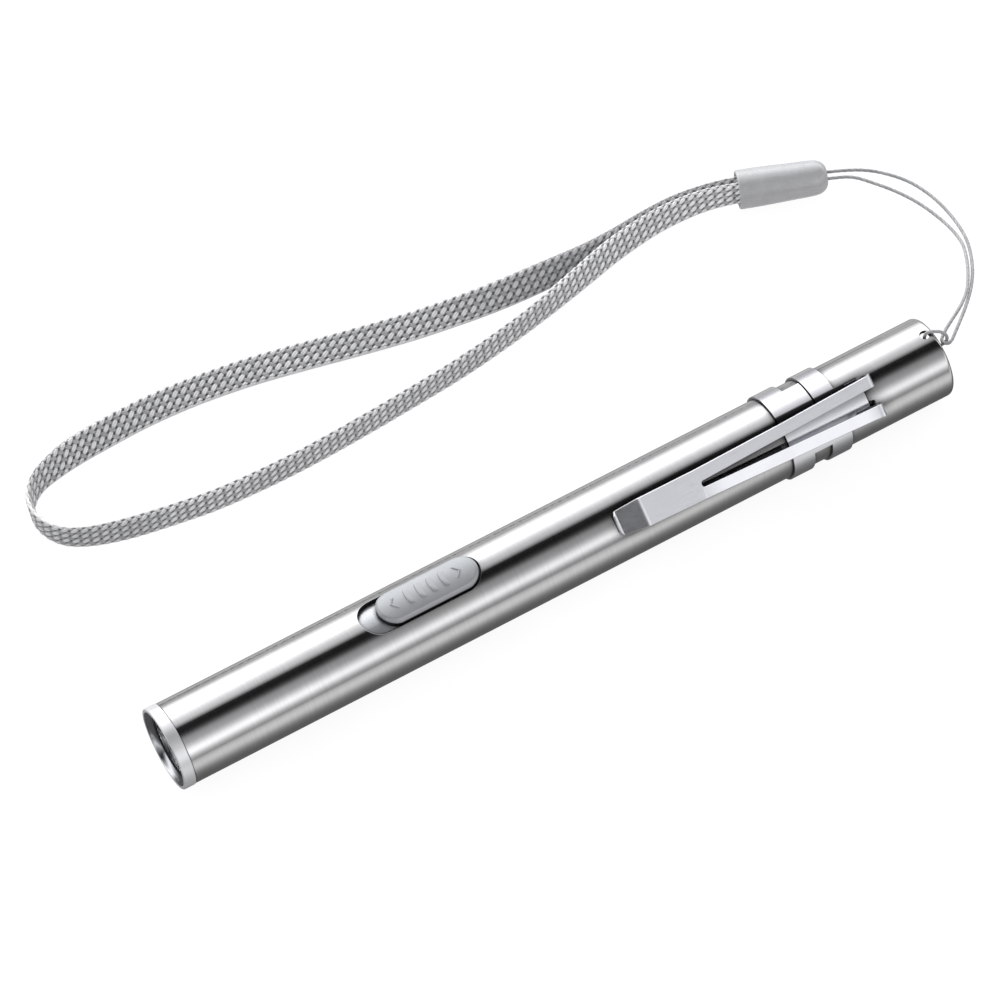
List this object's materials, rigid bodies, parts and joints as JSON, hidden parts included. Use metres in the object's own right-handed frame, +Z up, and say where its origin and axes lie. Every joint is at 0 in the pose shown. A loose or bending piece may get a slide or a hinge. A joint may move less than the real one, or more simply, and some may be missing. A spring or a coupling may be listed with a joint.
{
  "type": "pocket exam light",
  "caption": "Slim stainless pocket exam light with a slide switch, a sprung pocket clip, and a cord loop carrying a braided wrist strap.",
  "frame": {"origin": "centre of the bezel's front rim plane, on the barrel axis", "axes": "+X runs along the barrel from the light head to the tail; +Z points up through the slide switch; the strap lies to the +Y side"},
  "size_m": [0.1635, 0.0713, 0.017],
  "materials": {
    "stainless_tube": "polished and lightly brushed along the barrel",
    "satin_bezel": "satin, bead-blasted",
    "black_rubber": "matte",
    "clear_lens": "clear, polished",
    "reflector_chrome": "vacuum-metallised, smooth",
    "led_phosphor": "domed silicone over yellow phosphor",
    "aluminium_board": "bare, machined",
    "brass": "turned",
    "red_wire": "silicone insulation",
    "black_wire": "silicone insulation",
    "carrier_plastic": "moulded, fine texture",
    "green_board": "solder mask",
    "chip_black": "moulded epoxy",
    "contact_brass": "plated",
    "grey_plastic": "smooth satin",
    "grey_button": "fine spark-eroded texture",
    "spring_steel": "drawn wire",
    "cell_wrap": "shrink film",
    "sleeve_insulator": "fibre tube",
    "port_steel": "plated",
    "tail_plastic": "moulded, fine texture",
    "clip_steel": "satin pressed sheet",
    "cord_thread": "thin round braided cord",
    "sleeve_plastic": "soft satin moulding",
    "strap_braid": "flat herringbone braid"
  },
  "bodies": {
    "light": {"barrel_tube": "stainless_tube", "battery_cell": "cell_wrap", "battery_sleeve": "sleeve_insulator", "bezel_ring": "satin_bezel", "cell_spring": "spring_steel", "charge_board": "green_board", "charge_chip": "chip_black", "cord_hitch": "cord_thread", "detent_spring": "spring_steel", "driver_board": "green_board", "driver_chip": "chip_black", "fixed_contacts": "contact_brass", "front_contact_plate": "contact_brass", "lead_wire_black": "black_wire", "lead_wire_red": "red_wire", "led_board": "aluminium_board", "led_emitter": "led_phosphor", "lens_gasket": "black_rubber", "lens_window": "clear_lens", "pill_holder": "brass", "rear_contact_plate": "contact_brass", "reflector": "reflector_chrome", "slot_bed": "grey_plastic", "switch_carrier": "carrier_plastic", "tail_insert": "tail_plastic", "usb_receptacle": "port_steel"},
    "slider": {"slide_button": "grey_button", "slider_shoe": "carrier_plastic", "moving_contact": "contact_brass"},
    "clip": {"clip_base": "clip_steel"},
    "clip_spring_arm": {"clip_arm": "clip_steel"},
    "strap": {"cord_loop": "cord_thread", "cord_crimp": "contact_brass", "strap_sleeve": "sleeve_plastic", "wrist_strap": "strap_braid"}
  },
  "joints": [
    {"name": "switch_slide", "type": "slide", "parent": "light", "child": "slider", "axis": [-1, 0, 0], "range_m": [0, 0.0029]},
    {"name": "clip_turn", "type": "hinge", "parent": "light", "child": "clip", "pos_m": [0.118, 0, 0], "axis": [1, 0, 0], "continuous": true},
    {"name": "clip_flex", "type": "hinge", "parent": "clip", "child": "clip_spring_arm", "pos_m": [0.1282, -0.00538, 0.00619], "axis": [0, 0.7547, 0.6561], "range_deg": [0, 5], "stiffness_Nm_per_rad": 0.15},
    {"name": "strap_swing", "type": "hinge", "parent": "light", "child": "strap", "pos_m": [0.1452, -0.0015, 0.005], "axis": [0, 0, 1], "range_deg": [-100, 10]}
  ]
}
